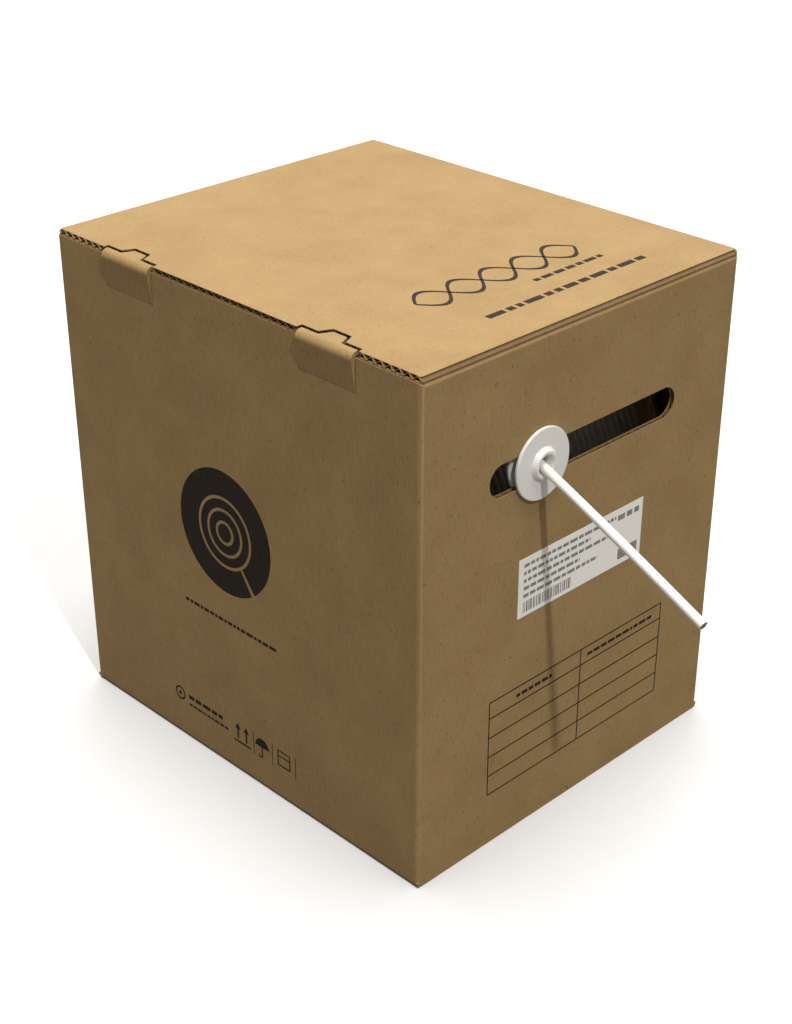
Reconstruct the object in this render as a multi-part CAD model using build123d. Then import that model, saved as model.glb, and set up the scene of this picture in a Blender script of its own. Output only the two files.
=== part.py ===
from build123d import *
import os
from math import asin, atan2, cos, degrees, hypot, pi, radians, sin, sqrt, tan

# Pull box for network cable: a corrugated carton with a hinged lid. A spool of cable turns inside it on
# a cardboard axle, and the cable leaves through a plastic guide that slides along a slot.
# Millimetres. X runs along the slotted front wall, -Y points out of it and +Z is up.
# The origin is the centre of the face that the carton stands on.

# ---- carton ----
box_width = 298.0  # X, over the walls
box_depth = 349.0  # Y, over the walls
box_height = 365.0  # Z, floor to lid top
board = 4.0  # thickness of the single-wall corrugated board
corner_radius = 3.0  # outside of the folded vertical corners and top folds
crease_gap = 0.3  # between two panels that fold against each other
slide_in_gap = 0.4  # between a wall and a flap that tucks in behind it
seam_gap = 1.0  # between the two outer bottom flaps
inner_flap_gap = 43.0  # between the two inner bottom flaps
glue_thickness = 0.3
glue_bead_width = 12.0
joint_flap_width = 35.0  # the glued flap that closes the carton into a tube
joint_flap_inset = 20.0  # its top and bottom lie this far inside the wall's

# ---- cable slot ----
slot_length = 180.0
slot_height = 22.4
slot_z = 275.2  # centre line

# ---- lid, dust flaps and tuck flap ----
lid_inset = 0.5  # the lid's free edges lie this far inside the walls' outer faces
lid_corner_radius = 2.5
dust_flap_length = 95.0
dust_flap_taper = 4.0
dust_flap_corner = 14.0
tuck_length = 50.0
tuck_lean = 6.5  # degrees, so that it swings up past the wall's edge
tuck_swing = 9.0  # degrees it can fold further inward
tuck_corner = 12.0
tuck_rounding = 0.5  # of the board's thickness, where the flap turns under the lid
tuck_side_gap = 4.0  # between its ends and the lid's notches
tuck_room = 9.0  # what the tuck flap needs between the left wall and the dust flaps

# ---- lock tongues, cut in the left wall's top edge ----
tongue_spacing = 192.0
tongue_width = 48.8
tongue_height = 22.7  # below the wall's top
tongue_lean = 8.0  # degrees outward
tongue_slit = 0.6  # each side
head_thickness = 3.0  # the board is crushed where it folds in over the lid
head_bend_radius = 5.0
notch_margin = 2.0  # between a tongue's head and the lid's notch
notch_shoulder = 4.5  # depth of the notch's shallow ends
notch_depth = 13.0  # depth at its middle
notch_middle = 24.0  # width of the deep middle at its mouth
notch_tip = 16.0  # and at its bottom
notch_rounding = 1.0

# ---- spool and what carries it ----
axle_z = 178.0
axle_radius = 20.0
axle_wall = 3.0
axle_end_gap = 0.5
cradle_thickness = 7.0  # double-wall board
cradle_height = 292.0
cradle_length = 320.0
cradle_play = 0.3  # how much wider than the axle the U cut is, in radius
spool_length = 240.0  # between the flanges
core_radius = 75.0
core_wall = 5.0
flange_radius = 152.0
flange_thickness = 6.0
bush_radius = 26.0
bush_lip_radius = 33.0
bush_lip_thickness = 2.0
bush_length = 16.0
running_clearance = 0.1  # axle in the bushes, in radius
fit_clearance = 0.1  # pieces that sit on each other and do not move
tie_bolt_count = 4
tie_bolt_radius = 3.0
tie_circle_radius = 55.0
tie_head_radius = 6.5
tie_head_height = 3.2
tie_end = 1.4  # thread that stands out of the nut
nut_across_flats = 10.0
nut_height = 5.0
washer_radius = 9.0
washer_thickness = 1.6

# ---- cable ----
cable_diameter = 6.2
winding_radius = 142.0
winding_gap = 0.3  # between the winding and the flanges, and under the run that leaves it
run_turn_in = 6.0  # degrees, how far the run to the guide lies aslant, seen from above
run_wrap = 168.0  # degrees of the winding that the run still lies on

# ---- guide ----
guide_x = -44.0  # where along the slot it stands
guide_play = 0.3  # neck in slot, each side
flange_play = 0.4  # each flange to the wall
guide_flange_radius = 24.5
guide_flange_thickness = 2.4
guide_boss_base = 11.6
guide_boss_radius = 9.2
guide_boss_height = 2.8
guide_bore_radius = 5.5
guide_mouth_radius = 7.5
guide_ring_radius = 23.5
guide_tail = 2.4  # neck behind the rear ring
guide_bead = 0.6  # snap bead that holds the ring
guide_edge_rounding = 0.8

# ---- label on the front wall ----
label_width = 124.0
label_height = 43.5
label_thickness = 0.15
label_x = 1.8
label_z = 189.8

# ---- derived ----
half_width = box_width / 2
half_depth = box_depth / 2
inner_half_width = half_width - board
inner_half_depth = half_depth - board
lid_bottom = box_height - board
wall_top = lid_bottom - crease_gap
side_wall_foot = board
end_wall_foot = board + glue_thickness
floor_top = end_wall_foot + board
lid_left = -half_width + lid_inset
wall_middle_y = -half_depth + board / 2
flange_outer_x = spool_length / 2 + flange_thickness
washer_outer_x = flange_outer_x + washer_thickness
cable_radius = cable_diameter / 2

# The free end of the cable, from the middle of the guide to where it was cut off. It hangs a little
# more steeply as it goes.
free_cable_route = [
    (-44.0, -172.5, 275.2),
    (-48.8, -218.2, 260.2),
    (-54.1, -268.9, 242.8),
    (-58.9, -314.6, 226.2),
]


def block(x, y, z):
    """A box between the low and high values given for each axis."""
    size = Box(x[1] - x[0], y[1] - y[0], z[1] - z[0])
    return Pos((x[0] + x[1]) / 2, (y[0] + y[1]) / 2, (z[0] + z[1]) / 2) * size


def rod_along_x(radius, x):
    """A round bar along the spool's axis, between the two values of x."""
    return Pos((x[0] + x[1]) / 2, 0, axle_z) * (Rot(0, 90, 0) * Cylinder(radius, x[1] - x[0]))


def tube_along_x(outer, inner, x):
    return rod_along_x(outer, x) - rod_along_x(inner, (x[0] - 1, x[1] + 1))


def mirrored(shape):
    """The matching piece on the +X side."""
    return mirror(shape, about=Plane.YZ)


# ---- the carton's fixed panels ----


def end_wall():
    """The front wall without its slot. The rear wall is its mirror image."""
    wall = block((-half_width, half_width), (-half_depth, -inner_half_depth), (end_wall_foot, wall_top))
    corners = wall.edges().filter_by(Axis.Z).sort_by(Axis.Y)[:2]
    top_fold = wall.edges().filter_by(Axis.X).group_by(Axis.Z)[-1].sort_by(Axis.Y)[0]
    return fillet([*corners, top_fold], corner_radius)


def front_wall():
    slot = extrude(Plane.XZ * SlotOverall(slot_length, slot_height), amount=board, both=True)
    return end_wall() - Pos(0, wall_middle_y, slot_z) * slot


def rear_wall():
    return mirror(end_wall(), about=Plane.XZ)


def right_wall():
    return block((inner_half_width, half_width), (-inner_half_depth, inner_half_depth), (side_wall_foot, wall_top))


def left_wall():
    wall = mirrored(right_wall())
    gap_half = tongue_width / 2 + tongue_slit
    for middle in tongue_middles():
        x = (-half_width - 1, -inner_half_width + 1)
        y = (middle - gap_half, middle + gap_half)
        wall -= block(x, y, (wall_top - tongue_height, wall_top + 1))
    return wall


def joint_flap():
    """Continues the left wall round the rear corner and is glued inside the rear wall."""
    x = (-inner_half_width, -inner_half_width + joint_flap_width)
    y = (inner_half_depth - board, inner_half_depth)
    return block(x, y, (floor_top + joint_flap_inset, wall_top - joint_flap_inset))


def bottom_flap_side():
    """Outer bottom flap on the left. Two of them meet under the middle of the carton."""
    flap = block((-half_width, -seam_gap / 2), (-half_depth, half_depth), (0, board))
    fold = flap.edges().filter_by(Axis.Y).group_by(Axis.Z)[0].sort_by(Axis.X)[0]
    return fillet(fold, corner_radius)


def bottom_flap_end():
    """Inner bottom flap at the front. Two of them do not meet."""
    x = (-inner_half_width + crease_gap, inner_half_width - crease_gap)
    return block(x, (-inner_half_depth, -inner_flap_gap / 2), (end_wall_foot, floor_top))


def bottom_glue():
    """Beads of glue between the outer and the inner bottom flaps."""
    flap_length = inner_half_depth - inner_flap_gap / 2
    bead = Box(glue_bead_width, flap_length - 2 * glue_bead_width, glue_thickness)
    beads = []
    for y in (-inner_half_depth + flap_length / 2, inner_half_depth - flap_length / 2):
        for share in (-0.75, -0.25, 0.25, 0.75):
            beads.append(Pos(share * inner_half_width, y, board + glue_thickness / 2) * bead)
    return Compound(beads)


def shipping_label():
    y = (-half_depth - label_thickness, -half_depth)
    x = (label_x - label_width / 2, label_x + label_width / 2)
    return block(x, y, (label_z - label_height / 2, label_z + label_height / 2))


# ---- what folds ----


def tongue_middles():
    return (-tongue_spacing / 2, tongue_spacing / 2)


def notch_outline(middle, margin):
    """Plan of the lid's notch, or with a margin of the tongue's head that lies in it."""
    half = tongue_width / 2 + notch_margin - margin
    shoulder = lid_left + notch_shoulder - margin
    bottom = lid_left + notch_depth - margin
    mouth = notch_middle / 2 - margin
    tip = notch_tip / 2 - margin
    outside = -half_width - board
    upper = [(outside, half), (shoulder, half), (shoulder, mouth), (bottom, tip)]
    lower = [(x, -y) for x, y in reversed(upper)]
    outline = make_face(Polyline(*upper, *lower, close=True))
    return Pos(0, middle) * fillet(outline.vertices(), notch_rounding)


def lid_panel():
    x_middle = (lid_left + half_width) / 2
    plan = Rectangle(half_width - lid_left, box_depth - 2 * lid_inset)
    plan = Pos(x_middle, 0) * fillet(plan.vertices(), lid_corner_radius)
    for middle in tongue_middles():
        plan -= notch_outline(middle, 0)
    lid = Pos(0, 0, lid_bottom) * extrude(plan, amount=board)
    crease = lid.edges().filter_by(Axis.Y).group_by(Axis.Z)[-1].sort_by(Axis.X)[-1]
    return fillet(crease, min(corner_radius, 0.7 * board))


def tuck_pivot_z():
    """Height of the tuck flap's crease: low enough for its rounded edge to fold inward under the lid."""
    swung = radians(tuck_lean + tuck_swing)
    rounding = tuck_rounding * board
    highest = (board - rounding) * sin(swung) + rounding * (1 - cos(swung))
    return lid_bottom - crease_gap - highest


def tuck_flap():
    """Hangs from the lid inside the left wall, between the two tongues' heads."""
    length = tongue_spacing - notch_middle - 2 * tuck_side_gap
    plan = Pos(0, -tuck_length / 2) * Rectangle(length, tuck_length)
    plan = fillet(plan.vertices().group_by(Axis.Y)[0], tuck_corner)
    upright = Plane(origin=(0, 0, 0), x_dir=(0, 1, 0), z_dir=(1, 0, 0))
    flap = extrude(upright * plan, amount=board)
    inner_top = flap.edges().filter_by(Axis.Y).group_by(Axis.Z)[-1].sort_by(Axis.X)[-1]
    flap = fillet(inner_top, tuck_rounding * board)
    return Pos(-inner_half_width + slide_in_gap, 0, tuck_pivot_z()) * (Rot(0, -tuck_lean, 0) * flap)


def dust_flap():
    """The front one. Its left end leaves room for the tuck flap."""
    x0 = -inner_half_width + tuck_room
    x1 = inner_half_width - slide_in_gap
    y0 = -inner_half_depth + crease_gap
    y1 = y0 + dust_flap_length
    plan = make_face(Polyline((x0, y0), (x1, y0), (x1 - dust_flap_taper, y1), (x0 + dust_flap_taper, y1), close=True))
    plan = fillet(plan.vertices().group_by(Axis.Y)[-1], dust_flap_corner)
    return Pos(0, 0, wall_top - board) * extrude(plan, amount=board)


def lock_tongue(middle):
    """Leans out of the left wall, folds over its top and lies in the lid's notch."""
    foot = wall_top - tongue_height + crease_gap
    head_bottom = lid_bottom + crease_gap
    head_top = head_bottom + head_thickness
    tip = lid_left + notch_depth - notch_margin
    outer_bend = -half_width - (head_top - foot) * tan(radians(tongue_lean))
    inner_bend = -inner_half_width - (head_bottom - foot) * tan(radians(tongue_lean))
    outer = [(-half_width, foot), (outer_bend, head_top), (tip, head_top)]
    inner = [(tip, head_bottom), (inner_bend, head_bottom), (-inner_half_width, foot)]
    side = make_face(Plane.XZ * Polyline(*outer, *inner, close=True))
    leaf = extrude(side, amount=tongue_width / 2, both=True)
    bend = leaf.edges().filter_by(Axis.Y).group_by(Axis.Z)[-1].sort_by(Axis.X)[0]
    leaf = Pos(0, middle, 0) * fillet(bend, head_bend_radius)
    shoulder = lid_left + notch_shoulder - notch_margin
    wall_half = tongue_width / 2 + 1
    spare = block((shoulder, tip + 1), (middle - wall_half, middle + wall_half), (head_bottom - 0.1, head_top + 1))
    head = Pos(0, 0, head_bottom - 1) * extrude(notch_outline(middle, notch_margin), amount=head_thickness + 2)
    return leaf - (spare - head)


# ---- spool ----


def cradle():
    """Board insert at the left wall. The axle lies in its U cut."""
    radius = axle_radius + cradle_play
    x = (-inner_half_width, -inner_half_width + cradle_thickness)
    top = floor_top + cradle_height
    panel = block(x, (-cradle_length / 2, cradle_length / 2), (floor_top, top))
    wide_x = (x[0] - 1, x[1] + 1)
    panel -= Pos(0, 0, cradle_play) * rod_along_x(radius, wide_x)
    return panel - block(wide_x, (-radius, radius), (axle_z + cradle_play, top + 1))


def axle_tube():
    end = inner_half_width - axle_end_gap
    return tube_along_x(axle_radius, axle_radius - axle_wall, (-end, end))


def tie_places():
    """Where the tie bolts stand, as points of the YZ plane round the axle."""
    step = 2 * pi / tie_bolt_count
    angles = [step * (i + 0.5) for i in range(tie_bolt_count)]
    return [(tie_circle_radius * cos(a), tie_circle_radius * sin(a)) for a in angles]


def spool_flange():
    """The left one."""
    x = (-flange_outer_x, -spool_length / 2)
    disc = rod_along_x(flange_radius, x)
    disc = fillet(disc.edges().filter_by(GeomType.CIRCLE), 1.0)
    wide_x = (x[0] - 1, x[1] + 1)
    disc -= rod_along_x(bush_radius + fit_clearance, wide_x)
    for y, z in tie_places():
        disc -= Pos(0, y, z) * rod_along_x(tie_bolt_radius + fit_clearance, wide_x)
    return disc


def hub_bush():
    """Plastic bush in the left flange, running on the axle."""
    x = (-flange_outer_x - bush_lip_thickness, -flange_outer_x - bush_lip_thickness + bush_length)
    bush = rod_along_x(bush_radius, x) + rod_along_x(bush_lip_radius, (x[0], -flange_outer_x))
    return bush - rod_along_x(axle_radius + running_clearance, (x[0] - 1, x[1] + 1))


def spool_core():
    half = spool_length / 2
    return tube_along_x(core_radius, core_radius - core_wall, (-half, half))


def cable_winding():
    """The wound cable, as one solid of its outer shape."""
    half = spool_length / 2 - winding_gap
    return tube_along_x(winding_radius, core_radius + fit_clearance, (-half, half))


def tie_bolts():
    end = washer_outer_x + nut_height + tie_end
    bolt = rod_along_x(tie_bolt_radius, (-washer_outer_x, end))
    head = rod_along_x(tie_head_radius, (-washer_outer_x - tie_head_height, -washer_outer_x))
    head = fillet(head.edges().group_by(Axis.X)[0], 0.6 * tie_head_height)
    return Compound([Pos(0, y, z) * (bolt + head) for y, z in tie_places()])


def tie_washers():
    washer = tube_along_x(washer_radius, tie_bolt_radius + fit_clearance, (flange_outer_x, washer_outer_x))
    pair = [washer, mirrored(washer)]
    return Compound([Pos(0, y, z) * piece for y, z in tie_places() for piece in pair])


def tie_nuts():
    plan = RegularPolygon(nut_across_flats / 2, 6, major_radius=False) - Circle(tie_bolt_radius + fit_clearance / 2)
    nut = Pos(washer_outer_x, 0, axle_z) * (Rot(0, 90, 0) * extrude(plan, amount=nut_height))
    return Compound([Pos(0, y, z) * nut for y, z in tie_places()])


# ---- guide, which slides in the slot ----


def guide_place():
    return Pos(guide_x, -half_depth, slot_z)


def guide_depths():
    """How far the guide's faces lie in front of the wall's outer face, from its nose to its tail."""
    flange_back = flange_play
    flange_front = flange_back + guide_flange_thickness
    nose = flange_front + guide_boss_height
    ring_front = -board - flange_play
    ring_back = ring_front - guide_flange_thickness
    return nose, flange_front, flange_back, ring_front, ring_back, ring_back - guide_tail


def guide_front():
    """Front flange, raised boss and the neck, with a waisted bore and a snap bead behind."""
    nose, flange_front, flange_back, _, ring_back, tail = guide_depths()
    neck = slot_height / 2 - guide_play
    bead = neck + guide_bead
    outside = Polyline(
        (guide_mouth_radius, -nose),
        (guide_boss_radius, -nose),
        (guide_boss_base, -flange_front),
        (guide_flange_radius, -flange_front),
        (guide_flange_radius, -flange_back),
        (neck, -flange_back),
        (neck, -ring_back),
        (bead, -ring_back),
        (bead, -ring_back + guide_tail / 2),
        (neck - guide_bead, -tail),
        (guide_mouth_radius, -tail),
    )
    waist = (guide_bore_radius, -(nose + tail) / 2)
    bore = ThreePointArc((guide_mouth_radius, -tail), waist, (guide_mouth_radius, -nose))
    section = make_face(outside + bore)
    part = revolve(section, axis=Axis.Y)
    front_rims = part.edges().filter_by(GeomType.CIRCLE).filter_by(lambda e: e.radius > guide_flange_radius - 0.1)
    return guide_place() * fillet(front_rims, guide_edge_rounding)


def guide_rear():
    """Ring that snaps onto the neck behind the wall."""
    _, _, _, ring_front, ring_back, _ = guide_depths()
    plan = Circle(guide_ring_radius) - Circle(slot_height / 2 - guide_play + fit_clearance / 2)
    ring = Pos(0, -ring_front, 0) * extrude(Plane.XZ * plan, amount=ring_back - ring_front)
    rims = ring.edges().filter_by(GeomType.CIRCLE).filter_by(lambda e: e.radius > guide_ring_radius - 0.1)
    return guide_place() * fillet(rims, guide_edge_rounding)


# ---- the cable that leaves the spool ----


def swept_cable(path):
    """A round bar along a path. Its volume has to equal its section times its length."""
    start = Plane(origin=path @ 0, z_dir=path % 0)
    solid = sweep(start * Circle(cable_radius), path=path)
    expected = pi * cable_radius**2 * path.length
    print(f"  cable length {path.length:.1f} mm, volume {solid.volume / expected:.5f} of section times length")
    return solid


def cable_run():
    """From the winding to the guide: straight off its top, and before that lying on it."""
    turn = radians(run_turn_in)
    inward = (sin(turn), cos(turn), 0)
    plane = Plane(origin=(guide_x, wall_middle_y, slot_z), x_dir=inward, z_dir=(cos(turn), -sin(turn), 0))
    middle = (-wall_middle_y / cos(turn), axle_z - slot_z)
    radius = winding_radius / cos(turn) + winding_gap + cable_radius
    distance = hypot(*middle)
    slope = atan2(middle[1], middle[0]) + asin(radius / distance)
    straight = sqrt(distance**2 - radius**2)
    leave = (straight * cos(slope), straight * sin(slope))
    path = Line((0, 0), leave) + CenterArc(middle, radius, 90 + degrees(slope), -run_wrap)
    print(f"  the run rises {degrees(slope):.2f} degrees from the guide")
    return swept_cable(plane * path)


def free_cable():
    """From the guide to the cut end: straight runs joined by arcs as large as the runs allow."""
    points = [Vector(*p) for p in free_cable_route]
    radii = []
    for before, corner, after in zip(points, points[1:], points[2:]):
        turn = radians((corner - before).get_angle(after - corner))
        shorter = min((corner - before).length, (after - corner).length)
        radii.append(0.45 * shorter / tan(turn / 2))
    print("  arc radii of the free cable:", [round(r) for r in radii])
    return swept_cable(FilletPolyline(*points, radius=radii))


# ---- every piece, by the name of its file ----


def pieces():
    yield "front_wall", front_wall()
    yield "rear_wall", rear_wall()
    yield "left_wall", left_wall()
    yield "right_wall", right_wall()
    yield "joint_flap", joint_flap()
    yield "bottom_flap_left", bottom_flap_side()
    yield "bottom_flap_right", mirrored(bottom_flap_side())
    yield "bottom_flap_front", bottom_flap_end()
    yield "bottom_flap_rear", mirror(bottom_flap_end(), about=Plane.XZ)
    yield "bottom_glue", bottom_glue()
    yield "shipping_label", shipping_label()
    yield "lid_panel", lid_panel()
    yield "tuck_flap", tuck_flap()
    yield "dust_flap_front", dust_flap()
    yield "dust_flap_rear", mirror(dust_flap(), about=Plane.XZ)
    yield "lock_tongue_front", lock_tongue(tongue_middles()[0])
    yield "lock_tongue_rear", lock_tongue(tongue_middles()[1])
    yield "axle_cradle_left", cradle()
    yield "axle_cradle_right", mirrored(cradle())
    yield "axle_tube", axle_tube()
    yield "spool_flange_left", spool_flange()
    yield "spool_flange_right", mirrored(spool_flange())
    yield "hub_bush_left", hub_bush()
    yield "hub_bush_right", mirrored(hub_bush())
    yield "spool_core", spool_core()
    yield "tie_bolts", tie_bolts()
    yield "tie_washers", tie_washers()
    yield "tie_nuts", tie_nuts()
    yield "cable_winding", cable_winding()
    yield "cable_run", cable_run()
    yield "free_cable", free_cable()
    yield "guide_front", guide_front()
    yield "guide_rear", guide_rear()


os.makedirs("parts", exist_ok=True)
for name, shape in pieces():
    export_step(shape, f"parts/{name}.step")
    print(name, f"{shape.volume / 1000:.1f} cm3")
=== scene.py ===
# %% [markdown]
# # Cable spool box
# A corrugated carton that holds a spool of network cable. The cable comes out
# through a white plastic guide that slides in a long slot in the front wall,
# and the lid is held by two board tongues that fold into notches in its edge.
# The carton's panels, the spool and the guide come from the CAD frame. This
# script adds the finishes, the real fluting of the boards seen from close by,
# the printing, the wound cable, its free end, and the light and camera.

# %% Load the frame and keep its size
from math import cos, pi, radians, sin
import random
import bmesh
import bpy
from mathutils import Euler, Matrix, Vector


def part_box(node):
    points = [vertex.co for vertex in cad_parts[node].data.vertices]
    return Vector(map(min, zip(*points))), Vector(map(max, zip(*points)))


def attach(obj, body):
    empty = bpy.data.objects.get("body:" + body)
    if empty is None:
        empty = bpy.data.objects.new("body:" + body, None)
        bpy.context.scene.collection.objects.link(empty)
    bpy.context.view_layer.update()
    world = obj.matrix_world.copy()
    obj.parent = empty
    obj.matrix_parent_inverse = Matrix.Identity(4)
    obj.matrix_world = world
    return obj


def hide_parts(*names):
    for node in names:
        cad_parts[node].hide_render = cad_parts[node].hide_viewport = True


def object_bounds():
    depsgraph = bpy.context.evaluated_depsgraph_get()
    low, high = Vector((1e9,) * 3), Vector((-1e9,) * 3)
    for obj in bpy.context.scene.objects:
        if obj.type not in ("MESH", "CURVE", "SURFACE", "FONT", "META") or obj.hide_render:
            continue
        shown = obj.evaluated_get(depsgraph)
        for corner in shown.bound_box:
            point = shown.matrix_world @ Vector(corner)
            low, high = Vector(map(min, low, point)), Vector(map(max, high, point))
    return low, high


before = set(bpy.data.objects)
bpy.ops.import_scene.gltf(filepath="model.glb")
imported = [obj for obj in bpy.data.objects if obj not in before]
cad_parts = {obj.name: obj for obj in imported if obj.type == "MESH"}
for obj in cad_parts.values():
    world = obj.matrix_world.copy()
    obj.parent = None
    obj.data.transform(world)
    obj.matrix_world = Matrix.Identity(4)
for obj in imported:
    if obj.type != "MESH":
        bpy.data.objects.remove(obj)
cad_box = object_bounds()

# %% [markdown]
# ## Camera
# The box is seen from in front of its left corner and from above, near enough
# for the upright edges to run together downwards. A camera looks along its own
# minus Z, so its turn is built from the azimuth round Z and the elevation.
# The lens is long enough for the box to fill the frame.

# %% Place the camera
camera_place = Vector((-0.788, -0.8047, 0.7677))
camera_azimuth = radians(-44.5)
camera_elevation = radians(28.5)
camera_data = bpy.data.cameras.new("camera")
camera_data.lens = 62.1
camera = bpy.data.objects.new("camera", camera_data)
camera.location = camera_place
camera.rotation_euler = Euler((pi / 2 - camera_elevation, 0, camera_azimuth))
bpy.context.scene.collection.objects.link(camera)
bpy.context.scene.camera = camera
print("camera lens", camera_data.lens, "mm")

# %% [markdown]
# ## Light and floor
# Soft light from straight above makes the lid the brightest face. A weaker key
# light from the front keeps the slotted wall lighter than the left wall and
# throws the cable's shadow down it. A sun lamp with a wide angle gives soft
# light of the same strength everywhere, so it is easy to balance. The world is
# a weak fill that keeps the shaded faces brown and not black.

# %% Two soft lamps, a fill and a pale floor
def add_lamp(name, towards_light, strength, soft_angle):
    """A sun lamp that shines from the direction towards_light."""
    data = bpy.data.lights.new(name, "SUN")
    data.energy = strength
    data.angle = radians(soft_angle)
    lamp = bpy.data.objects.new(name, data)
    lamp.rotation_euler = Vector(towards_light).to_track_quat("Z", "Y").to_euler()
    bpy.context.scene.collection.objects.link(lamp)


add_lamp("overhead_softbox", (0.0, 0.0, 1.0), 3.7, 42)
add_lamp("front_key", (-0.19, -0.60, 0.78), 1.36, 2.0)
add_lamp("rear_fill", (0.70, 0.60, 0.45), 0.8, 40)
world = bpy.data.worlds.new("studio_fill")
world.use_nodes = True
world.node_tree.nodes["Background"].inputs["Color"].default_value = (1.0, 0.985, 0.96, 1)
world.node_tree.nodes["Background"].inputs["Strength"].default_value = 0.29
bpy.context.scene.world = world
bpy.context.scene.view_settings.view_transform = "Standard"

# %% [markdown]
# ## Helpers
# Colours are written as sRGB hex values, as a paint program shows them, and
# one function turns them to the linear values that a shader needs. One small
# function adds a node with its settings and its links, and the nodes that
# nearly every finish needs have a function each. A few more turn a bmesh into
# an object and give a piece its body and its finish.

# %% Colours and nodes
def linear(hex_colour):
    """Linear RGBA of an sRGB hex colour such as 'C39B6B'."""
    parts = [int(hex_colour[i:i + 2], 16) / 255 for i in (0, 2, 4)]
    return tuple(p / 12.92 if p <= 0.04045 else ((p + 0.055) / 1.055) ** 2.4 for p in parts) + (1.0,)


def add_node(tree, kind, inputs=None, **settings):
    """Adds a node. inputs maps a socket to a value or to another node's output."""
    node = tree.nodes.new(kind)
    for name, value in settings.items():
        setattr(node, name, value)
    for socket, value in (inputs or {}).items():
        if isinstance(value, bpy.types.NodeSocket):
            tree.links.new(value, node.inputs[socket])
        else:
            node.inputs[socket].default_value = value
    return node


def start_material(name):
    """An empty material with its shader, linked to the output."""
    material = bpy.data.materials.new(name)
    material.use_nodes = True
    tree = material.node_tree
    tree.nodes.clear()
    shader = add_node(tree, "ShaderNodeBsdfPrincipled")
    add_node(tree, "ShaderNodeOutputMaterial", {"Surface": shader.outputs["BSDF"]})
    place = add_node(tree, "ShaderNodeTexCoord")
    return material, tree, shader, place


# %% The nodes that most finishes need
millimetre = 0.001


def noise(tree, point, size_mm, **inputs):
    """Cloudy noise whose spots are about size_mm wide."""
    inputs = {"Vector": point, "Scale": 1 / (size_mm * millimetre), **inputs}
    return add_node(tree, "ShaderNodeTexNoise", inputs).outputs["Fac"]


def ranged(tree, value, to_min, to_max, from_min=0.0, from_max=1.0, **settings):
    """A value moved from one range to another."""
    inputs = {"Value": value, "From Min": from_min, "From Max": from_max, "To Min": to_min, "To Max": to_max}
    return add_node(tree, "ShaderNodeMapRange", inputs, **settings).outputs[0]


def math_node(tree, operation, *values):
    """The result of one sum."""
    return add_node(tree, "ShaderNodeMath", dict(enumerate(values)), operation=operation).outputs[0]


def mixed(tree, factor, first, second, **settings):
    """A colour between two, or their product with blend_type MULTIPLY."""
    inputs = {"Factor": factor, "A": first, "B": second}
    return add_node(tree, "ShaderNodeMix", inputs, data_type="RGBA", **settings).outputs["Result"]


def set_look(tree, shader, colour, constants, relief=None):
    """Gives the shader its colour and its constant values. relief is a height,
    the bump's strength and its depth in millimetres."""
    tree.links.new(colour, shader.inputs["Base Color"])
    for socket, value in constants.items():
        shader.inputs[socket].default_value = value
    if relief:
        height, strength, depth_mm = relief
        inputs = {"Height": height, "Strength": strength, "Distance": depth_mm * millimetre}
        bump = add_node(tree, "ShaderNodeBump", inputs)
        tree.links.new(bump.outputs["Normal"], shader.inputs["Normal"])


# %% Pieces
def as_piece(name, mesh, body, material, smooth_below=None):
    """Makes an object of a bmesh, at the origin, riding on its body."""
    data = bpy.data.meshes.new(name)
    mesh.to_mesh(data)
    mesh.free()
    data.materials.append(material)
    if smooth_below is not None:
        data.shade_smooth()
        data.set_sharp_from_angle(angle=radians(smooth_below))
    piece = bpy.data.objects.new(name, data)
    bpy.context.scene.collection.objects.link(piece)
    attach(piece, body)
    print(f"{name}: {len(data.polygons)} faces, rides on {body}")
    return piece


def finish_nodes(material, *names):
    """Gives CAD nodes their finish."""
    for name in names:
        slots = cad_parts[name].data.materials
        slots.clear()
        slots.append(material)


# %% [markdown]
# The floor is one large flat sheet. It looks nearly white, but throws back
# only as much light onto the walls as a pale grey table would, so the walls
# keep their depth of colour.

# %% Floor
floor_material, tree, shader, place = start_material("pale_paper_floor")
ray = add_node(tree, "ShaderNodeLightPath")
floor_colour = mixed(tree, ray.outputs["Is Camera Ray"], linear("6C6A68"), linear("D2D1CF"))
set_look(tree, shader, floor_colour, {"Roughness": 0.9, "Specular IOR Level": 0.1})
floor_half_width = 40.0
sheet = bmesh.new()
bmesh.ops.create_grid(sheet, x_segments=1, y_segments=1, size=floor_half_width)
floor_mesh = bpy.data.meshes.new("floor")
sheet.to_mesh(floor_mesh)
sheet.free()
floor_mesh.materials.append(floor_material)
floor = bpy.data.objects.new("floor", floor_mesh)
floor.location.z = cad_box[0][2] - 0.0002
bpy.context.scene.collection.objects.link(floor)
print("floor at", round(floor.location.z, 4))

# %% [markdown]
# ## Corrugated board
# Kraft board is brown paper with long fibres, cloudy spots and small dark
# flecks. It is matt, and its faces are very slightly waved by the fluting
# glued behind them. Where it is cut, the edge shows two liners with a wavy
# sheet between them, and hollows, which the finish fills with painted shade,
# a near-black colour. Five panels get real fluting further
# down. On the others the finish draws it: on a face whose normal lies in the
# panel's plane it works out how deep the point is in the board, and compares
# that with a sine wave of the fluting's real pitch. C flute has a wave about
# every 7.5 mm.

# %% The look of kraft paper
kraft_brown = "9D8054"
kraft_pale = "AA8E62"
kraft_dark = "8A6E46"
kraft_fleck = "5E4629"
matt_paper = {"Roughness": 0.86, "Specular IOR Level": 0.25}
flute_pitch = 7.5 * millimetre
axis_number = {"X": 0, "Y": 1, "Z": 2}


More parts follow.
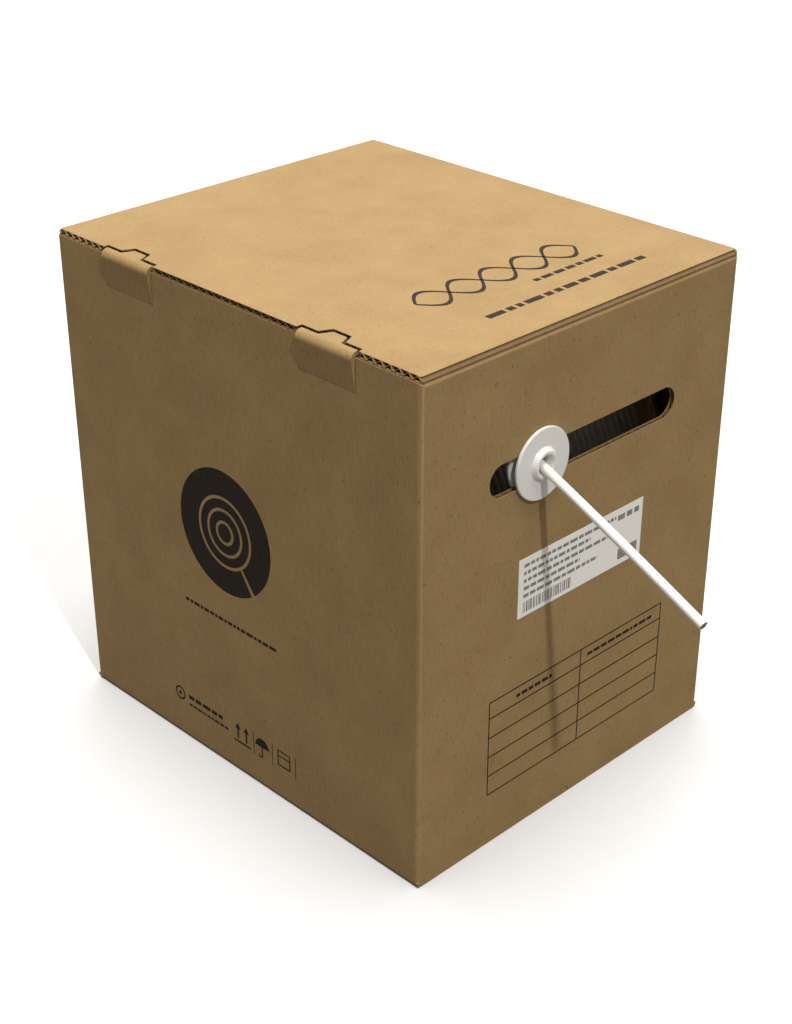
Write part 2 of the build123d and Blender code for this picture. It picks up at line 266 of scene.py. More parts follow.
def kraft_paper(tree, place, tint=kraft_brown):
    """Colour and height of the paper, the same on every panel."""
    point = place.outputs["Object"]
    stretched = add_node(tree, "ShaderNodeMapping", {"Vector": point, "Scale": (1.0, 1.0, 0.22)})
    clouds = noise(tree, point, 45, Detail=3.0, Roughness=0.6)
    fibres = noise(tree, stretched.outputs[0], 1.6, Detail=4.0, Roughness=0.65)
    flecks = noise(tree, point, 2.2, Detail=1.0)
    cloud_share = ranged(tree, clouds, 0.0, 1.0, 0.3, 0.7)
    cloud_colour = mixed(tree, cloud_share, linear(kraft_dark), linear(kraft_pale))
    base = mixed(tree, 0.32, linear(tint), cloud_colour)
    fibre_shade = ranged(tree, fibres, 0.9, 1.1, 0.3, 0.7)
    with_fibres = mixed(tree, 1.0, base, fibre_shade, blend_type="MULTIPLY")
    fleck_share = ranged(tree, flecks, 0.0, 0.55, 0.69, 0.76)
    return mixed(tree, fleck_share, with_fibres, linear(kraft_fleck)), fibres


# %% One board finish for each way a panel can lie
def corrugated_board(name, through, across, face_at, thickness, fold_axis, cut_from, cut_to):
    """Kraft board. through is the axis of its thickness and across the axis
    that its waves follow. face_at is where its outer face lies, in millimetres
    from the middle of the box or, for Z, from the floor. Along fold_axis the
    board is cut only between cut_from and cut_to. Beyond them it is folded on,
    so a board with both at 0 shows no drawn fluting."""
    material, tree, shader, place = start_material(name)
    paper, fibre_height = kraft_paper(tree, place)
    point = add_node(tree, "ShaderNodeSeparateXYZ", {"Vector": place.outputs["Object"]}).outputs
    facing = add_node(tree, "ShaderNodeSeparateXYZ", {"Vector": place.outputs["Normal"]}).outputs
    outward = math_node(tree, "ABSOLUTE", point[axis_number[through]])
    inner_face = (face_at - thickness) * millimetre
    depth = ranged(tree, outward, 0.0, 1.0, face_at * millimetre, inner_face, clamp=False)
    phase = math_node(tree, "MULTIPLY", point[axis_number[across]], 2 * pi / flute_pitch)
    wave = math_node(tree, "SINE", phase)
    wave_depth = math_node(tree, "MULTIPLY_ADD", wave, 0.33, 0.5)
    from_wave = math_node(tree, "ABSOLUTE", math_node(tree, "SUBTRACT", depth, wave_depth))
    medium = math_node(tree, "LESS_THAN", from_wave, 0.085)
    from_middle = math_node(tree, "ABSOLUTE", math_node(tree, "SUBTRACT", depth, 0.5))
    liner = math_node(tree, "GREATER_THAN", from_middle, 0.38)
    solid = math_node(tree, "MAXIMUM", medium, liner)
    tilt = math_node(tree, "ABSOLUTE", facing[axis_number[through]])
    edge_face = math_node(tree, "LESS_THAN", tilt, 0.3)
    half_span = (cut_to - cut_from) / 2 * millimetre
    cut_middle = cut_from * millimetre + half_span
    unfolded = math_node(tree, "COMPARE", point[axis_number[fold_axis]], cut_middle, half_span)
    cut = math_node(tree, "MULTIPLY", edge_face, unfolded)
    # Painted shade: on a drawn cut edge, the hollow between the waves is coloured near-black to stand in for
    # the shade inside it.
    hollow = math_node(tree, "MULTIPLY", cut, math_node(tree, "SUBTRACT", 1.0, solid))
    cut_paper = mixed(tree, math_node(tree, "MULTIPLY", cut, 0.5), paper, linear("8A6C48"))
    colour = mixed(tree, hollow, cut_paper, linear("1E160E"))
    washboard = math_node(tree, "MULTIPLY_ADD", wave, 0.35, fibre_height)
    set_look(tree, shader, colour, matt_paper, (washboard, 0.35, 0.12))
    return material


# %% Board finishes on the carton's panels
half_width, half_depth, box_height = 149.0, 174.5, 365.0
board_thickness = 4.0
inner_half_width = half_width - board_thickness
board_finishes = [
    ("kraft_end_wall_board", "Y", "X", half_depth, board_thickness, "X", -145, 145, ["rear_wall"]),
    ("kraft_side_wall_board", "X", "Y", half_width, board_thickness, "Y", -170, 170, ["right_wall"]),
    ("kraft_joint_board", "Y", "X", 170.5, board_thickness, "X", -144, 0, ["joint_flap"]),
    ("kraft_tuck_board", "X", "Y", inner_half_width, board_thickness, "Z", 0, 355, ["tuck_flap"]),
    ("kraft_outer_bottom_board", "Z", "Y", board_thickness, board_thickness, "X", 0, 0,
     ["bottom_flap_left", "bottom_flap_right"]),
    ("kraft_inner_bottom_board", "Z", "X", 8.3, board_thickness, "Y", -168, 168,
     ["bottom_flap_front", "bottom_flap_rear"]),
    ("kraft_cradle_board", "X", "Y", inner_half_width, 7.0, "Z", 0, 365,
     ["axle_cradle_left", "axle_cradle_right"]),
]
for *board_facts, panels in board_finishes:
    finish_nodes(corrugated_board(*board_facts), *panels)
print(len(board_finishes), "board finishes")

# %% [markdown]
# The tongues' board is crushed flat where it is folded, so their edges show
# no fluting, only layered paper. Their finish is the plain paper, and so is
# that of the real fluting below, which is darker because it is recycled.

# %% Plain paper, without drawn fluting
def plain_kraft(name, tint=kraft_brown):
    """Kraft paper with crushed fibres and no fluting drawn on its edges."""
    material, tree, shader, place = start_material(name)
    paper, fibre_height = kraft_paper(tree, place, tint)
    set_look(tree, shader, paper, matt_paper, (fibre_height, 0.5, 0.2))
    return material


finish_nodes(plain_kraft("crushed_kraft_board"), "lock_tongue_front", "lock_tongue_rear")

# %% [markdown]
# ## Real fluting where the eye is near
# The lid's free edge, the slot, the left wall's cut top and the dust flaps are
# seen from close by, so there the board is made as it really is: two thin
# liners with a wavy sheet between them. Each CAD panel is copied, merged and
# cut by planes into its liners. The wave is a flat grid moved by a sine and
# thickened, and a Boolean modifier trims it to the panel's outline. Where the
# board is folded, a solid strip is kept, because no cut edge shows there.

# %% Cut a closed copy of a panel
liner_thickness = 0.5 * millimetre
medium_thickness = 0.35 * millimetre
wave_steps = 12
merge_distance = 1e-6


def axis_vector(axis, size=1.0):
    """A vector of that size along X, Y or Z."""
    vector = Vector((0, 0, 0))
    vector[axis_number[axis]] = size
    return vector


def panel_copy(node, cuts):
    """A merged copy of a CAD panel. Each cut is (axis, place in mm, side), and
    drops what lies beyond the place on that side, then closes the opening."""
    board = bmesh.new()
    board.from_mesh(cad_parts[node].data)
    bmesh.ops.remove_doubles(board, verts=board.verts, dist=merge_distance)
    for axis, place, side in cuts:
        everything = board.verts[:] + board.edges[:] + board.faces[:]
        cut = bmesh.ops.bisect_plane(
            board, geom=everything, dist=merge_distance / 10, clear_outer=True,
            plane_co=axis_vector(axis, place * millimetre), plane_no=axis_vector(axis, side))
        opening = [e for e in cut["geom_cut"] if isinstance(e, bmesh.types.BMEdge)]
        bmesh.ops.triangle_fill(board, use_beauty=True, use_dissolve=False, edges=opening)
    bmesh.ops.dissolve_degenerate(board, dist=merge_distance, edges=board.edges)
    bmesh.ops.recalc_face_normals(board, faces=board.faces)
    return board


def add_mesh(board, other):
    """Adds another bmesh to this one."""
    carrier = bpy.data.meshes.new("carrier")
    other.to_mesh(carrier)
    other.free()
    board.from_mesh(carrier)
    bpy.data.meshes.remove(carrier)


# %% Make the wavy sheet and trim it
def wavy_sheet(panel, through, across, middle_depth):
    """The fluting of a panel, two waves wider than the panel on every side."""
    low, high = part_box(panel)
    flute = ({"X", "Y", "Z"} - {through, across}).pop()
    across_size = (high - low)[axis_number[across]] + 4 * flute_pitch
    flute_size = (high - low)[axis_number[flute]] + 4 * flute_pitch
    sheet = bmesh.new()
    segments = round(across_size / flute_pitch * wave_steps)
    bmesh.ops.create_grid(sheet, x_segments=segments, y_segments=1, size=0.5)
    bmesh.ops.scale(sheet, vec=(across_size, flute_size, 1), verts=sheet.verts)
    swing = (board_thickness * millimetre - 2 * liner_thickness - medium_thickness) / 2
    for v in sheet.verts:
        v.co.z = swing * sin(2 * pi * v.co.x / flute_pitch) - medium_thickness / 2
    raised = bmesh.ops.extrude_face_region(sheet, geom=sheet.faces[:])["geom"]
    raised_verts = [v for v in raised if isinstance(v, bmesh.types.BMVert)]
    bmesh.ops.translate(sheet, vec=(0, 0, medium_thickness), verts=raised_verts)
    turn = Matrix((axis_vector(across), axis_vector(flute), axis_vector(through))).transposed().to_4x4()
    middle = (low + high) / 2
    middle[axis_number[through]] = middle_depth * millimetre
    bmesh.ops.transform(sheet, matrix=Matrix.Translation(middle) @ turn, verts=sheet.verts)
    bmesh.ops.recalc_face_normals(sheet, faces=sheet.faces)
    return sheet


def trimmed(sheet, outline):
    """The part of one closed mesh that lies inside another."""
    helpers = []
    for name, mesh in (("sheet", sheet), ("outline", outline)):
        data = bpy.data.meshes.new(name)
        mesh.to_mesh(data)
        mesh.free()
        helpers.append(bpy.data.objects.new(name, data))
        bpy.context.scene.collection.objects.link(helpers[-1])
    trim = helpers[0].modifiers.new("trim", "BOOLEAN")
    trim.operation = "INTERSECT"
    trim.solver = "EXACT"
    trim.object = helpers[1]
    bpy.context.view_layer.update()
    seen = helpers[0].evaluated_get(bpy.context.evaluated_depsgraph_get())
    inside = bmesh.new()
    inside.from_mesh(bpy.data.meshes.new_from_object(seen))
    for helper in helpers:
        bpy.data.objects.remove(helper)
    return inside


# %% Build the fluted panels
def fluted_panel(name, node, body, through, across, faces, hollow, folds):
    """Makes a panel as two pieces: its liners with its solid folds, and its
    fluting. faces are the panel's outer and inner face in mm, hollow is the
    list of cuts that leaves the fluted part, and each of folds is the list
    that leaves one solid fold."""
    outer, inner = faces
    inward = 1 if inner > outer else -1
    step = liner_thickness / millimetre
    board = panel_copy(node, hollow + [(through, outer + inward * step, inward)])
    add_mesh(board, panel_copy(node, hollow + [(through, inner - inward * step, -inward)]))
    outline = panel_copy(node, hollow)
    for fold in folds:
        add_mesh(board, panel_copy(node, fold))
    panel = as_piece(name, board, body, fluted_finishes[through + across], 40)
    for face in panel.data.polygons:
        lies_flat = max(abs(part) for part in face.normal) >= 0.9999
        face.use_smooth = not lies_flat
    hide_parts(node)
    wave = trimmed(wavy_sheet(node, through, across, (outer + inner) / 2), outline)
    fluting = as_piece(f"{name}_fluting", wave, body, fluting_paper, 30)


fluting_paper = plain_kraft("recycled_fluting_paper", "6A543A")
dust_flap_top = 360.7
fluted_finishes = {
    "ZY": corrugated_board("kraft_liner_lid", "Z", "Y", box_height, board_thickness, "X", 0, 0),
    "YX": corrugated_board("kraft_liner_front_wall", "Y", "X", half_depth, board_thickness, "X", 0, 0),
    "XY": corrugated_board("kraft_liner_left_wall", "X", "Y", half_width, board_thickness, "Y", 0, 0),
    "ZX": corrugated_board("kraft_liner_dust_flap", "Z", "X", dust_flap_top, board_thickness, "X", 0, 0),
}
lid_fold = 145.5
fluted_panel(
    "lid_board", "lid_panel", "lid", "Z", "Y", (box_height, box_height - board_thickness),
    [("X", lid_fold, 1)], [[("X", lid_fold, -1)]])
upright_fold, top_fold = inner_half_width, 356.0
between_uprights = [("X", -upright_fold, -1), ("X", upright_fold, 1)]
fluted_panel(
    "front_wall_board", "front_wall", "carton", "Y", "X", (-half_depth, board_thickness - half_depth),
    between_uprights + [("Z", top_fold, 1)],
    [[("X", -upright_fold, 1)], [("X", upright_fold, -1)], between_uprights + [("Z", top_fold, -1)]])
fluted_panel("left_wall_board", "left_wall", "carton", "X", "Y", (-half_width, -inner_half_width), [], [])
dust_flap_fold = 166.0
for flap, side in (("front", -1), ("rear", 1)):
    fluted_panel(
        f"dust_flap_{flap}_board", f"dust_flap_{flap}", f"dust_{flap}", "Z", "X",
        (dust_flap_top, dust_flap_top - board_thickness),
        [("Y", side * dust_flap_fold, side)], [[("Y", side * dust_flap_fold, -side)]])

# %% [markdown]
# ## Plastics, metal, wood and paper of the small pieces
# The guide is injection-moulded polystyrene: white, glossy, with a very faint
# unevenness. The cable's jacket is softer PVC with a satin gloss. The spool's
# flanges are plywood, its ties are zinc-plated steel, and its tubes are wound
# from strips of grey-brown paper whose seams run round them as a screw.

# %% Plastics
def plastic(name, colour, roughness, waviness_mm):
    """A moulded or extruded plastic with faint surface waviness."""
    material, tree, shader, place = start_material(name)
    cloud = noise(tree, place.outputs["Object"], waviness_mm, Detail=2.0)
    tinted = mixed(tree, 1.0, linear(colour), ranged(tree, cloud, 0.97, 1.03), blend_type="MULTIPLY")
    set_look(tree, shader, tinted, {"Roughness": roughness, "IOR": 1.5}, (cloud, 0.2, 0.05))
    return material


guide_plastic = plastic("white_moulded_polystyrene", "E9E6DF", 0.28, 3.0)
jacket_plastic = plastic("white_pvc_jacket", "EFEBE0", 0.42, 2.0)
bush_plastic = plastic("black_moulded_nylon", "1E1E20", 0.4, 1.5)
# Painted shade: the wound cable is the same white PVC as the free end, given a darker colour so its turns
# look shaded deep in the box and in the slot.
wound_jacket_painted_shade = plastic("white_pvc_jacket_wound_painted_shade", "CBC6B9", 0.5, 2.0)
finish_nodes(guide_plastic, "guide_front", "guide_rear")
finish_nodes(wound_jacket_painted_shade, "cable_run")
finish_nodes(bush_plastic, "hub_bush_left", "hub_bush_right")

# %% Zinc-plated steel
zinc_steel, tree, shader, place = start_material("zinc_plated_steel")
grain = noise(tree, place.outputs["Object"], 1.2, Detail=3.0)
set_look(tree, shader, mixed(tree, grain, linear("B9BCC0"), linear("D4D4CE")), {"Metallic": 1.0})
tree.links.new(ranged(tree, grain, 0.26, 0.44), shader.inputs["Roughness"])
finish_nodes(zinc_steel, "tie_bolts", "tie_washers", "tie_nuts")

# %% Plywood flanges
plywood, tree, shader, place = start_material("birch_plywood")
turned = add_node(tree, "ShaderNodeMapping", {"Vector": place.outputs["Object"], "Scale": (1.0, 1.0, 0.08)})
grain = noise(tree, turned.outputs[0], 3.5, Detail=5.0, Distortion=0.6)
wood_colour = add_node(tree, "ShaderNodeValToRGB", {"Fac": grain})
wood_stops = wood_colour.color_ramp.elements
wood_stops[0].position, wood_stops[0].color = 0.3, linear("B98F5C")
wood_stops[1].position, wood_stops[1].color = 0.7, linear("DDBF8F")
facing = add_node(tree, "ShaderNodeSeparateXYZ", {"Vector": place.outputs["Normal"]})
rim = math_node(tree, "LESS_THAN", math_node(tree, "ABSOLUTE", facing.outputs["X"]), 0.5)
layers = add_node(
    tree, "ShaderNodeTexWave",
    {"Vector": place.outputs["Object"], "Scale": 1 / (8 * millimetre), "Distortion": 0.3},
    bands_direction="X")
ply_share = math_node(tree, "MULTIPLY", rim, layers.outputs["Fac"])
ply_colour = mixed(tree, ply_share, wood_colour.outputs["Color"], linear("7D5B34"))
set_look(tree, shader, ply_colour, {"Roughness": 0.62}, (grain, 0.3, 0.15))
finish_nodes(plywood, "spool_flange_left", "spool_flange_right")

# %% Spiral-wound paper tube
paper_tube, tree, shader, place = start_material("spiral_wound_paper_tube")
paper, fibre_height = kraft_paper(tree, place, "8E7452")
axle_height = 178 * millimetre
strip_width = 60 * millimetre
to_axle = {"Vector": place.outputs["Object"], "Location": (0, 0, -axle_height)}
centred = add_node(tree, "ShaderNodeMapping", to_axle)
spot = add_node(tree, "ShaderNodeSeparateXYZ", {"Vector": centred.outputs[0]}).outputs
turns = math_node(tree, "MULTIPLY", math_node(tree, "ARCTAN2", spot["Z"], spot["Y"]), 1 / (2 * pi))
strips = math_node(tree, "MULTIPLY_ADD", spot["X"], 1 / strip_width, turns)
seam = math_node(tree, "LESS_THAN", math_node(tree, "FRACT", strips), 0.018)
seamed = mixed(tree, seam, paper, linear(kraft_fleck))
set_look(tree, shader, seamed, {"Roughness": 0.8}, (fibre_height, 0.3, 0.1))
finish_nodes(paper_tube, "spool_core", "axle_tube")

# %% Hot-melt glue and label paper
glue, tree, shader, place = start_material("amber_hot_melt_glue")
flow = noise(tree, place.outputs["Object"], 4)
set_look(tree, shader, mixed(tree, flow, linear("B98A3C"), linear("D8B872")), {"Roughness": 0.3})
finish_nodes(glue, "bottom_glue")

label_paper, tree, shader, place = start_material("coated_white_label_paper")
fine = noise(tree, place.outputs["Object"], 1.5, Detail=3.0)
label_colour = mixed(tree, fine, linear("F1EDE3"), linear("FAF7F0"))
set_look(tree, shader, label_colour, {"Roughness": 0.5}, (fine, 0.15, 0.05))
finish_nodes(label_paper, "shipping_label")

# %% [markdown]
# ## Printing
# The carton is printed in one dark brown ink by a rubber plate that rolls over
# the board. The ink soaks in, so it is matt and a little uneven; on the real
# board it is also lighter on the tops of the flutes, which the finish leaves
# out. Each print is a set of thin plates of ink drawn flat as length and
# height, then stood on its wall. The print names nobody: there is a generic
# coil, short bars in place of words, and an empty form.

# %% Ink finishes
def soaked_ink(name, ink, ground, gaps):
    """Ink on paper; gaps is how much of the ground shows through it."""
    material, tree, shader, place = start_material(name)
    speckle = noise(tree, place.outputs["Object"], 0.9, Detail=3.0)
    share = ranged(tree, speckle, 0.0, gaps, 0.42, 0.72)
    colour = mixed(tree, share, linear(ink), linear(ground))
    set_look(tree, shader, colour, {"Roughness": 0.8, "Specular IOR Level": 0.25})
    return material


board_ink = soaked_ink("flexo_brown_black_ink", "1F1914", "6A553A", 0.22)
label_ink = soaked_ink("thermal_grey_print", "77736C", "DCD6CA", 0.5)

# %% Drawing and placing ink
ink_thickness = 0.08 * millimetre


def ink_bar(print_mesh, left, right, low, high):
    """A flat bar of ink, sizes in millimetres."""
    bar = bmesh.ops.create_grid(print_mesh, x_segments=1, y_segments=1, size=0.5)["verts"]
    size = Vector((right - left, high - low, 0)) * millimetre
    middle = Vector(((left + right) / 2, (low + high) / 2, 0)) * millimetre
    bmesh.ops.scale(print_mesh, vec=(size.x, size.y, 1), verts=bar)
    bmesh.ops.translate(print_mesh, vec=middle, verts=bar)


def ink_ring(print_mesh, across, up, outer, inner=0.0, start=0.0, sweep=360.0):
    """A ring, disc or arc of ink, spun from one straight edge."""
    middle = Vector((across, up, 0)) * millimetre
    pinhole = 0.001
    reach = (max(inner, pinhole) * millimetre, outer * millimetre)
    ends = [print_mesh.verts.new(middle + Vector((r, 0, 0))) for r in reach]
    edge = print_mesh.edges.new(ends)
    bmesh.ops.rotate(print_mesh, cent=middle, matrix=Matrix.Rotation(radians(start), 3, "Z"), verts=ends)
    bmesh.ops.spin(
        print_mesh, geom=ends + [edge], cent=middle, axis=(0, 0, 1),
        angle=radians(sweep), steps=max(8, round(64 * sweep / 360)), use_merge=sweep == 360.0)


def word_bars(print_mesh, left, right, low, high, seed):
    """Short bars that stand for a line of small print."""
    lengths = random.Random(seed)
    place = left
    while place < right:
        length = min(lengths.uniform(2.2, 7.5) * (high - low) / 2.4, right - place)
        ink_bar(print_mesh, place, place + length, low, high)
        place += length + 0.55 * (high - low)


def stand_print(print_mesh, across, up, origin):
    """Thickens a flat print and stands it on a wall: across and up are the
    wall's directions, and origin is in millimetres."""
    bmesh.ops.remove_doubles(print_mesh, verts=print_mesh.verts, dist=merge_distance)
    bmesh.ops.recalc_face_normals(print_mesh, faces=print_mesh.faces)
    for face in print_mesh.faces:
        if face.normal.z > 0:
            face.normal_flip()
    raised = bmesh.ops.extrude_face_region(print_mesh, geom=print_mesh.faces[:])["geom"]
    raised_verts = [v for v in raised if isinstance(v, bmesh.types.BMVert)]
    bmesh.ops.translate(print_mesh, vec=(0, 0, ink_thickness), verts=raised_verts)
    across, up = Vector(across), Vector(up)
    turn = Matrix((across, up, across.cross(up))).transposed().to_4x4()
    to_wall = Matrix.Translation(Vector(origin) * millimetre) @ turn
    bmesh.ops.transform(print_mesh, matrix=to_wall, verts=print_mesh.verts)
    bmesh.ops.recalc_face_normals(print_mesh, faces=print_mesh.faces)


# %% The empty form on the front wall
form = bmesh.new()
form_left, form_right, form_low, form_high = -84.0, 94.0, 41.0, 115.0
form_line = 0.95
for row in (form_high, 102.4, 87.0, 71.7, 56.3, form_low):
    ink_bar(form, form_left, form_right, row - form_line / 2, row + form_line / 2)
column_low, column_high = form_low + form_line / 2, form_high - form_line / 2
for column in (form_left, 7.0, form_right):
    ink_bar(form, column - form_line / 2, column + form_line / 2, column_low, column_high)
word_bars(form, -58, -22, 107.0, 109.6, 3)
word_bars(form, 14, 84, 107.0, 109.4, 5)
stand_print(form, (1, 0, 0), (0, 0, 1), (0, -half_depth, 0))
as_piece("printed_form", form, "carton", board_ink)

# %% The disc with a coil on the left wall
disc = bmesh.new()
disc_across, disc_up, disc_radius = -8.5, 193.5, 46.5
ring_edges = [(disc_radius, 27.2), (24.8, 18.2), (15.8, 9.2), (6.8, 0.0)]
for outer, inner in ring_edges[1:]:
    ink_ring(disc, disc_across, disc_up, outer, inner)
tail_angle = 4.5
ink_ring(disc, disc_across, disc_up, *ring_edges[0], start=-52.0, sweep=360.0 - tail_angle)
word_bars(disc, -56, 40, 121.6, 124.0, 7)
stand_print(disc, (0, -1, 0), (0, 0, 1), (-half_width, 0, 0))
as_piece("printed_disc", disc, "carton", board_ink)

# %% [markdown]
# Low on the left wall is a row of handling marks: a ring, two lines of small
# print, two upward arrows over a bar, an umbrella and a plain box, parted by
# thin upright lines.

# %% Handling marks
marks = bmesh.new()
ink_ring(marks, -70.0, 36.0, 5.6, 4.3)
ink_ring(marks, -70.0, 36.0, 1.6)
word_bars(marks, -60, -22, 35.6, 38.6, 11)
word_bars(marks, -60, -16, 29.6, 31.4, 12)
for arrow_middle in (-5.0, 4.0):
    ink_bar(marks, arrow_middle - 0.8, arrow_middle + 0.8, 28.5, 36.5)
    head = [(arrow_middle - 3, 36.5, 0), (arrow_middle + 3, 36.5, 0), (arrow_middle, 41.5, 0)]
    marks.faces.new([marks.verts.new(Vector(corner) * millimetre) for corner in head])
ink_bar(marks, -9.5, 8.5, 25.2, 26.6)
ink_ring(marks, 21.0, 33.5, 7.2, 0.0, 0, 180)
ink_bar(marks, 20.4, 21.6, 26.5, 33.4)
ink_ring(marks, 19.2, 26.6, 2.4, 1.2, 180, 180)
for frame_line in (12.0, 32.0):
    ink_bar(marks, frame_line - 0.3, frame_line + 0.3, 24.0, 43.0)
for shelf in (28.0, 35.6, 40.0):
    ink_bar(marks, 37.4, 50.6, shelf, shelf + 1.0)
for post in (37.4, 49.6):
    ink_bar(marks, post, post + 1.0, 29.05, 35.55)
    ink_bar(marks, post, post + 1.0, 36.65, 39.95)
ink_bar(marks, 55.7, 56.3, 24.0, 43.0)
stand_print(marks, (0, -1, 0), (0, 0, 1), (-half_width, 0, 0))
as_piece("printed_handling_marks", marks, "carton", board_ink)

# %% [markdown]
# The lid's print is a long twisted pair, the sign of the cable inside, with
# lines of small print under it. Each strand is a thin strip whose points are
# moved up and down by a sine of their place along it.

# %% Twisted pair and small print on the lid
lid_print = bmesh.new()
pair_left, pair_right, pair_middle, pair_swing, pair_line = -74.0, 74.0, -95.0, 12.5, 3.4
for strand in (0, 1):
    strip = bmesh.ops.create_grid(lid_print, x_segments=144, y_segments=1, size=0.5)["verts"]
    size = Vector((pair_right - pair_left, pair_line, 0)) * millimetre
    middle = Vector(((pair_left + pair_right) / 2, pair_middle, 0)) * millimetre
    bmesh.ops.scale(lid_print, vec=(size.x, size.y, 1), verts=strip)
    bmesh.ops.translate(lid_print, vec=middle, verts=strip)
    for v in strip:
        along = (v.co.x / millimetre - pair_left) / (pair_right - pair_left)
        v.co.y += pair_swing * millimetre * sin(along * 5 * pi + strand * pi)
word_bars(lid_print, 8, 74, -121.0, -117.0, 21)
word_bars(lid_print, -58, 92, -142.5, -137.5, 22)
stand_print(lid_print, (1, 0, 0), (0, 1, 0), (0, 0, box_height))
as_piece("printed_lid_marks", lid_print, "lid", board_ink)

# %% Grey print on the label
label_low, label_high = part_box("shipping_label")
label_left, label_right = label_low.x / millimetre, label_high.x / millimetre
label_foot, label_head = label_low.z / millimetre, label_high.z / millimetre
label_face = label_low.y / millimetre
label_print = bmesh.new()
row = label_head - 7.0
for line, (start, end) in enumerate([(5, 96), (5, 70), (5, 88), (5, 60), (5, 78)]):
    word_bars(label_print, label_left + start, label_left + end, row, row + 2.4, 30 + line)
    row -= 5.6
bar_place, bar_sizes = label_left + 5.0, random.Random(4)
while bar_place < label_left + 52:
    bar_width = bar_sizes.choice((0.5, 0.5, 0.9, 1.4))
    ink_bar(label_print, bar_place, bar_place + bar_width, label_foot + 3, label_foot + 11)
    bar_place += bar_width + bar_sizes.choice((0.5, 0.8, 1.2))
ink_bar(label_print, label_right - 24, label_right - 4, label_foot + 4, label_foot + 12)
word_bars(label_print, label_right - 26, label_right - 4, label_head - 9, label_head - 5, 41)
stand_print(label_print, (1, 0, 0), (0, 0, 1), (0, label_face, 0))
as_piece("printed_label_marks", label_print, "carton", label_ink)

# %% [markdown]
# ## The wound cable
# The cable lies on the spool in layers. The CAD winding is a plain ring, so it
# is replaced by a screw of real turns: one ring of points is spun round the
# axle and moved a little along it at each step, which is how a screw thread is
# made. Below the outer layer a spun filling stands for the layers under it.

# %% Wind the outer layer
winding_low, winding_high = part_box("cable_winding")
cable_radius = 3.1 * millimetre
turn_pitch = 6.24 * millimetre
steps_in_turn = 44
section_sides = 8
axle = Vector((0, 0, axle_height))
layer_radius = (winding_high.z - winding_low.z) / 2 - cable_radius
layer_start = winding_low.x + cable_radius
core_radius = 75.2 * millimetre
turn_count = int((winding_high.x - winding_low.x - 2 * cable_radius) / turn_pitch)
winding = bmesh.new()
section = bmesh.ops.create_circle(winding, segments=section_sides, radius=cable_radius)["verts"]
bmesh.ops.rotate(winding, cent=(0, 0, 0), matrix=Matrix.Rotation(pi / 2, 3, "X"), verts=section)
bmesh.ops.translate(winding, vec=(layer_start, 0, axle_height - layer_radius), verts=section)
bmesh.ops.spin(
    winding, geom=winding.verts[:] + winding.edges[:], cent=axle, axis=(1, 0, 0),
    angle=2 * pi * turn_count, steps=turn_count * steps_in_turn, dvec=(turn_pitch / steps_in_turn, 0, 0))
open_ends = [e for e in winding.edges if e.is_boundary]
bmesh.ops.holes_fill(winding, edges=open_ends, sides=section_sides)
filling_outline = [
    (winding_low.x, core_radius), (winding_low.x, layer_radius),
    (winding_high.x, layer_radius), (winding_high.x, core_radius)]
corners = [winding.verts.new((x, 0, axle_height - r)) for x, r in filling_outline]
sides = [winding.edges.new((a, b)) for a, b in zip(corners, corners[1:] + corners[:1])]
bmesh.ops.spin(
    winding, geom=corners + sides, cent=axle, axis=(1, 0, 0), angle=2 * pi,
    steps=2 * steps_in_turn, use_merge=True)
bmesh.ops.recalc_face_normals(winding, faces=winding.faces)
wound_cable = as_piece("wound_cable", winding, "spool", wound_jacket_painted_shade, 50)
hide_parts("cable_winding")
print(turn_count, "turns in the outer layer")

# %% [markdown]
# ## The free end of the cable
# About 15 cm of the cable stands out of the guide, as stiff as such a cable
# is, and sags a little. It is one NURBS curve with a round bevel. The points
# are those of the CAD route, in metres.

# %% The free cable
free_route = [
    (-0.0440, -0.1725, 0.2752), (-0.0488, -0.2182, 0.2602),
    (-0.0541, -0.2689, 0.2428), (-0.0589, -0.3146, 0.2262)]
cable_curve = bpy.data.curves.new("free_cable_line", "CURVE")
cable_curve.dimensions = "3D"
spline = cable_curve.splines.new("NURBS")
spline.points.add(len(free_route) - 1)
for point, place in zip(spline.points, free_route):
    point.co = (*place, 1)
spline.order_u = 3
spline.use_endpoint_u = True
spline.resolution_u = 24
cable_curve.bevel_depth = 0.0
free_cable = bpy.data.objects.new("free_cable_end", cable_curve)
bpy.context.scene.collection.objects.link(free_cable)
bpy.context.view_layer.update()
line_mesh = bpy.data.meshes.new_from_object(free_cable)
cable_line = [v.co.copy() for v in line_mesh.vertices]
cable_curve.bevel_depth = cable_radius
cable_curve.bevel_resolution = 6
cable_curve.materials.append(jacket_plastic)
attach(free_cable, "guide")
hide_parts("free_cable")
cable_length = sum((b - a).length for a, b in zip(cable_line, cable_line[1:]))
print("free cable", round(cable_length, 4), "m")

# %% [markdown]
# Where the cable is cut, the jacket shows as a ring round four twisted pairs
# and the cross that keeps them apart. Eight solid colours, each with a copper
# middle, are spun or extruded as short rods along the cable's last direction.

# %% The cut end
cable_tip = cable_line[-1]
tip_direction = (cable_line[-1] - cable_line[-2]).normalized()
to_tip = Matrix.Translation(cable_tip) @ tip_direction.to_track_quat("Z", "Y").to_matrix().to_4x4()


def plain_finish(name, colour, roughness, metallic=0.0):
    """A small even finish with a faint speckle."""
    material, tree, shader, place = start_material(name)
    speckle = noise(tree, place.outputs["Object"], 0.3)
    tinted = mixed(tree, 1.0, linear(colour), ranged(tree, speckle, 0.9, 1.1), blend_type="MULTIPLY")
    set_look(tree, shader, tinted, {"Roughness": roughness, "Metallic": metallic})
    return material


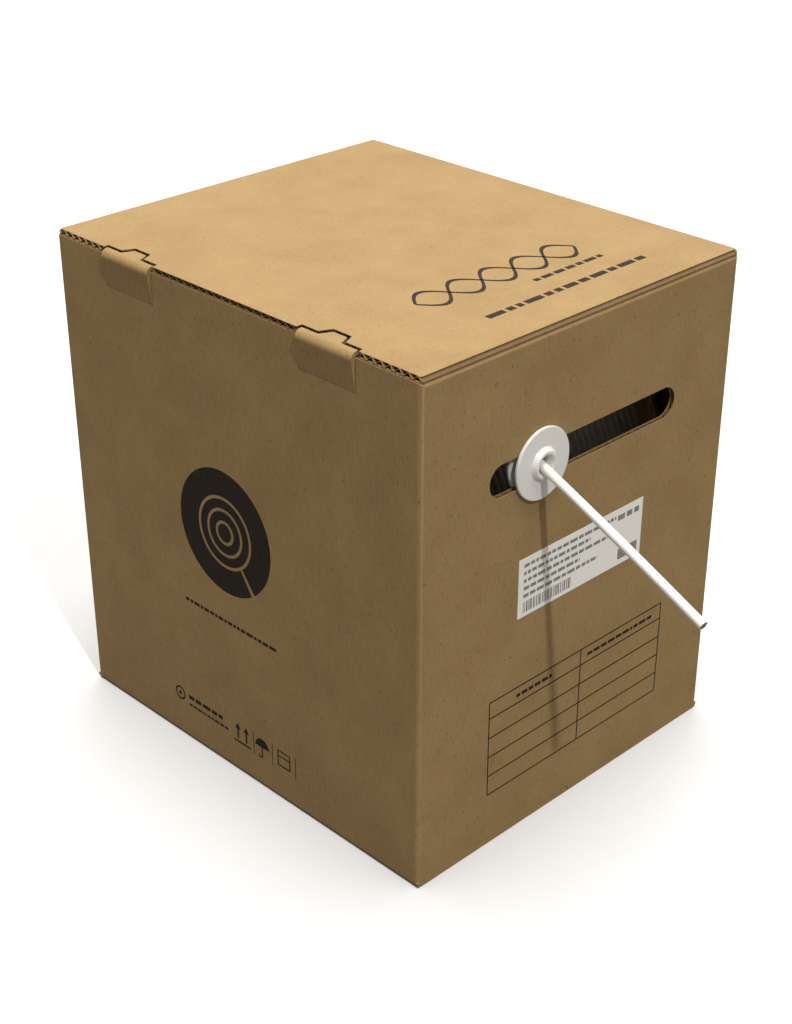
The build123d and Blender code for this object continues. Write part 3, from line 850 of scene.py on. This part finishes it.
def rod_on_tip(mesh, radius, across, up, low, high):
    """A short rod along the cable, sizes in millimetres from the cut."""
    rod = bmesh.ops.create_cone(
        mesh, cap_ends=True, segments=12, radius1=radius * millimetre, radius2=radius * millimetre,
        depth=(high - low) * millimetre)["verts"]
    bmesh.ops.translate(mesh, vec=Vector((across, up, (low + high) / 2)) * millimetre, verts=rod)


jacket_end = bmesh.new()
jacket_outer, jacket_inner, ring_length = 3.1, 2.45, 0.25
ring_profile = [
    (jacket_outer, 0.0), (jacket_outer, ring_length), (jacket_inner, ring_length), (jacket_inner, 0.0)]
ring_verts = [jacket_end.verts.new((r * millimetre, 0, z * millimetre)) for r, z in ring_profile]
ring_lines = [jacket_end.edges.new((a, b)) for a, b in zip(ring_verts, ring_verts[1:] + ring_verts[:1])]
bmesh.ops.spin(
    jacket_end, geom=ring_verts + ring_lines, cent=(0, 0, 0), axis=(0, 0, 1),
    angle=2 * pi, steps=32, use_merge=True)
for turn in (0, pi / 2):
    fin = bmesh.ops.create_cube(jacket_end, size=millimetre)["verts"]
    bmesh.ops.scale(jacket_end, vec=(4.8, 0.35, 0.35), verts=fin)
    bmesh.ops.rotate(jacket_end, cent=(0, 0, 0), matrix=Matrix.Rotation(turn, 3, "Z"), verts=fin)
bmesh.ops.recalc_face_normals(jacket_end, faces=jacket_end.faces)
bmesh.ops.transform(jacket_end, matrix=to_tip, verts=jacket_end.verts)
jacket_ring = as_piece("cut_jacket_end", jacket_end, "guide", jacket_plastic, 40)

pair_colours = {"blue": "2C5FA8", "orange": "D9792B", "green": "3C8A4B", "brown": "7A4B2C"}
copper = plain_finish("bare_copper_wire", "C8774A", 0.3, 1.0)
copper_ends = bmesh.new()
pair_distance, wire_spread, insulation_radius, wire_radius = 1.35, 0.5, 0.46, 0.25
for number, (colour_name, colour) in enumerate(pair_colours.items()):
    pair_angle = pi / 4 + number * pi / 2
    pair = bmesh.new()
    for side in (-1, 1):
        across = pair_distance * cos(pair_angle) - side * wire_spread * sin(pair_angle)
        up = pair_distance * sin(pair_angle) + side * wire_spread * cos(pair_angle)
        rod_on_tip(pair, insulation_radius, across, up, -0.3, 0.45)
        rod_on_tip(copper_ends, wire_radius, across, up, -0.3, 0.7)
    bmesh.ops.transform(pair, matrix=to_tip, verts=pair.verts)
    insulation = plain_finish(f"{colour_name}_wire_insulation", colour, 0.45)
    as_piece(f"wire_pair_{colour_name}", pair, "guide", insulation, 40)
bmesh.ops.transform(copper_ends, matrix=to_tip, verts=copper_ends.verts)
as_piece("copper_wire_ends", copper_ends, "guide", copper, 40)
